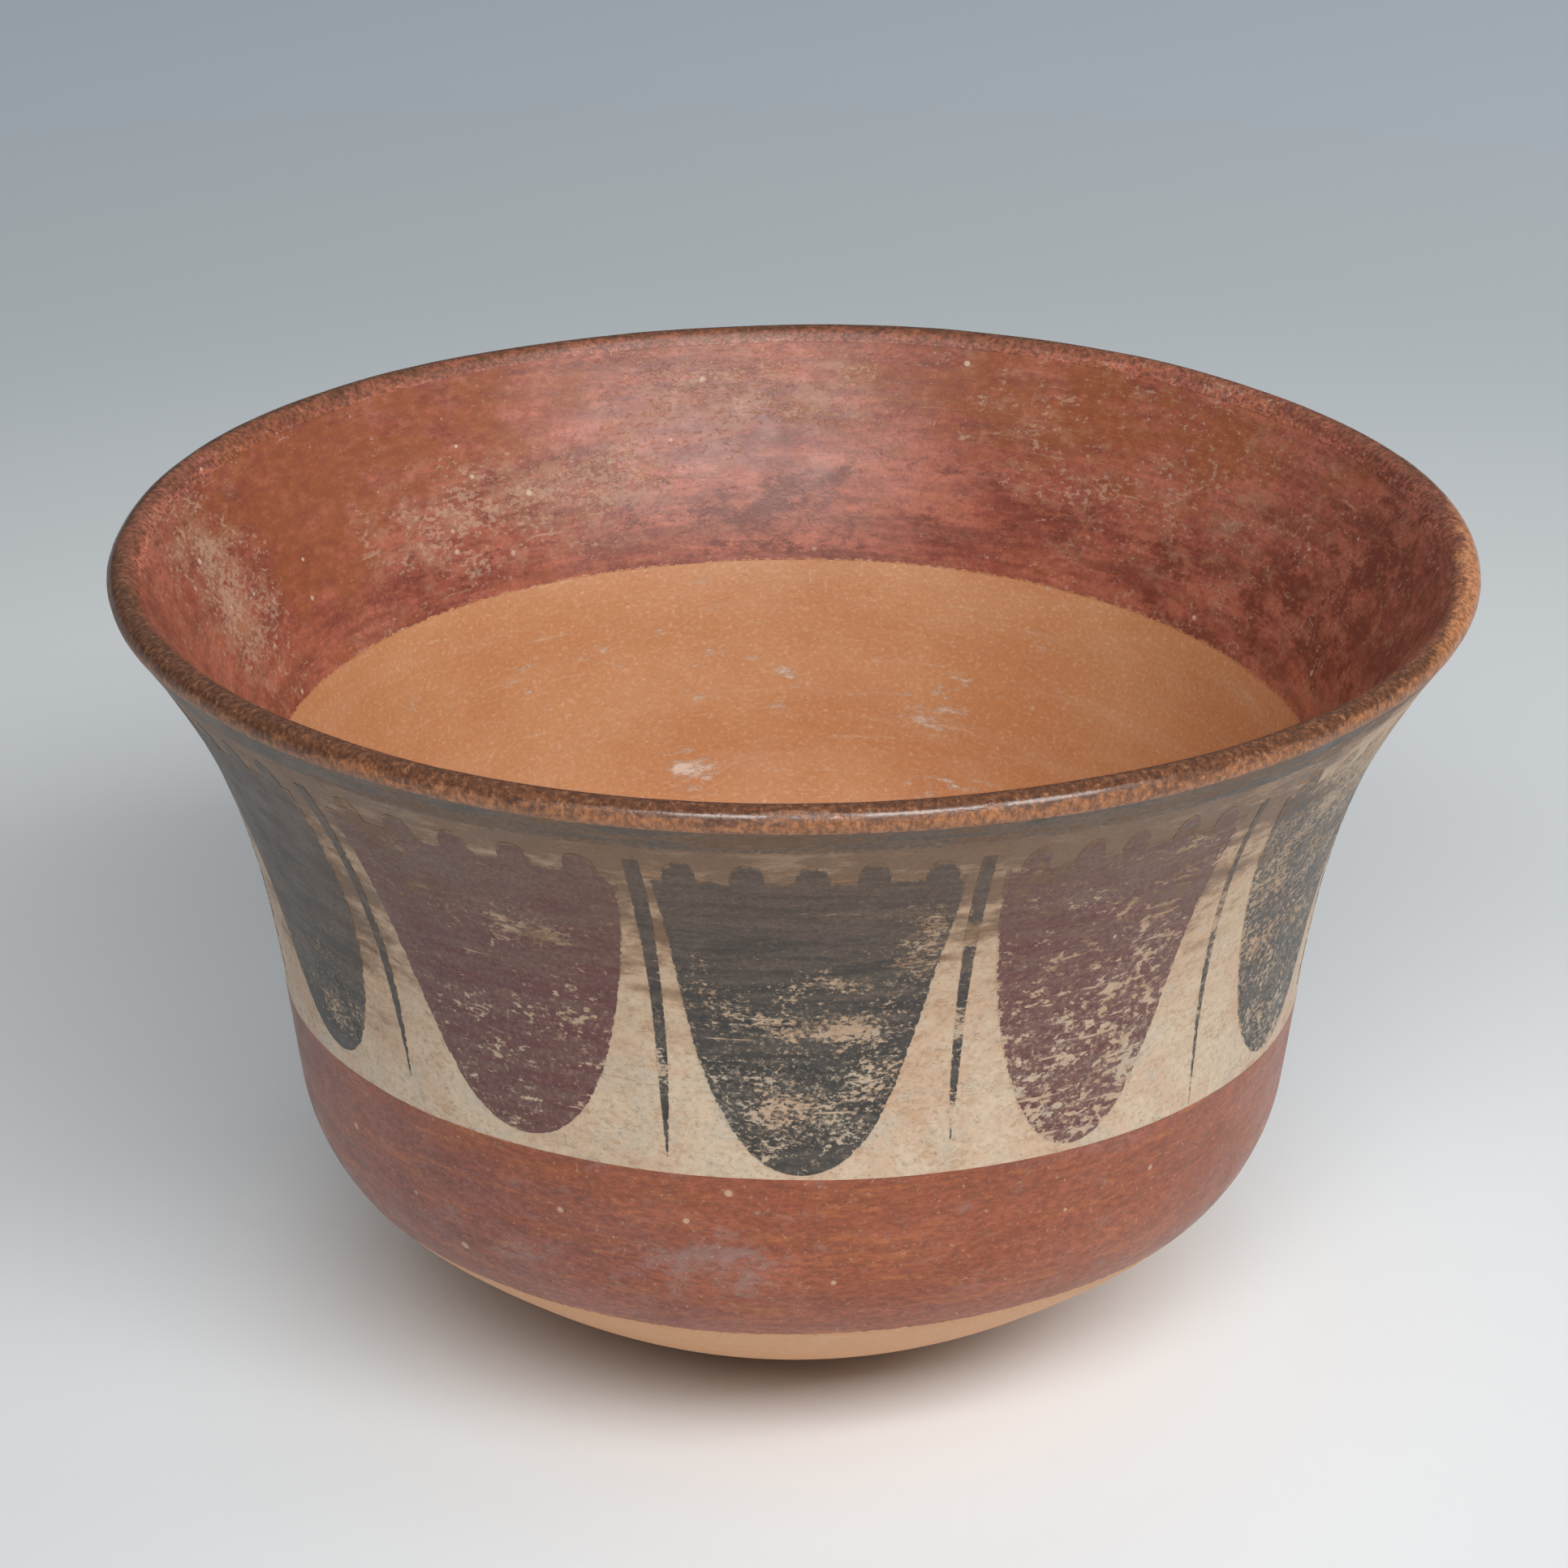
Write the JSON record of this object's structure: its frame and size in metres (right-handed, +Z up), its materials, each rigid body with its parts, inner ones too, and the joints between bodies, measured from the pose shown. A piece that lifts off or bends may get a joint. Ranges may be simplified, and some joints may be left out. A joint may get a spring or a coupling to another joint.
{
  "type": "painted bowl",
  "caption": "Round-based flaring ceramic bowl with a red slipped inside rim, a cream outside painted with alternating black and plum tongues, and a red lower band.",
  "frame": {"origin": "centre of the small flat spot under the base, on the surface that the bowl stands on", "axes": "+Z up along the bowl's axis; -Y is the front, with a black tongue in its middle"},
  "size_m": [0.17, 0.17, 0.104],
  "materials": {
    "fired_clay": "burnished, unglazed",
    "red_slip": "burnished slip",
    "rim_paint": "polished slip paint",
    "cream_slip": "burnished slip",
    "band_paint": "worn slip paint",
    "black_paint": "slip paint",
    "plum_paint": "slip paint"
  },
  "bodies": {
    "root": {"clay_body": "fired_clay", "interior_red_slip": "red_slip", "rim_dark_paint": "rim_paint", "rim_grey_band": "band_paint", "exterior_cream_slip": "cream_slip", "lower_red_slip": "red_slip", "black_tongue_1": "black_paint", "black_tongue_2": "black_paint", "black_tongue_3": "black_paint", "black_tongue_4": "black_paint", "black_tongue_5": "black_paint", "black_tongue_6": "black_paint", "plum_tongue_1": "plum_paint", "plum_tongue_2": "plum_paint", "plum_tongue_3": "plum_paint", "plum_tongue_4": "plum_paint", "plum_tongue_5": "plum_paint", "plum_tongue_6": "plum_paint", "divider_line_01": "black_paint", "divider_line_02": "black_paint", "divider_line_03": "black_paint", "divider_line_04": "black_paint", "divider_line_05": "black_paint", "divider_line_06": "black_paint", "divider_line_07": "black_paint", "divider_line_08": "black_paint", "divider_line_09": "black_paint", "divider_line_10": "black_paint", "divider_line_11": "black_paint", "divider_line_12": "black_paint"}
  },
  "joints": []
}
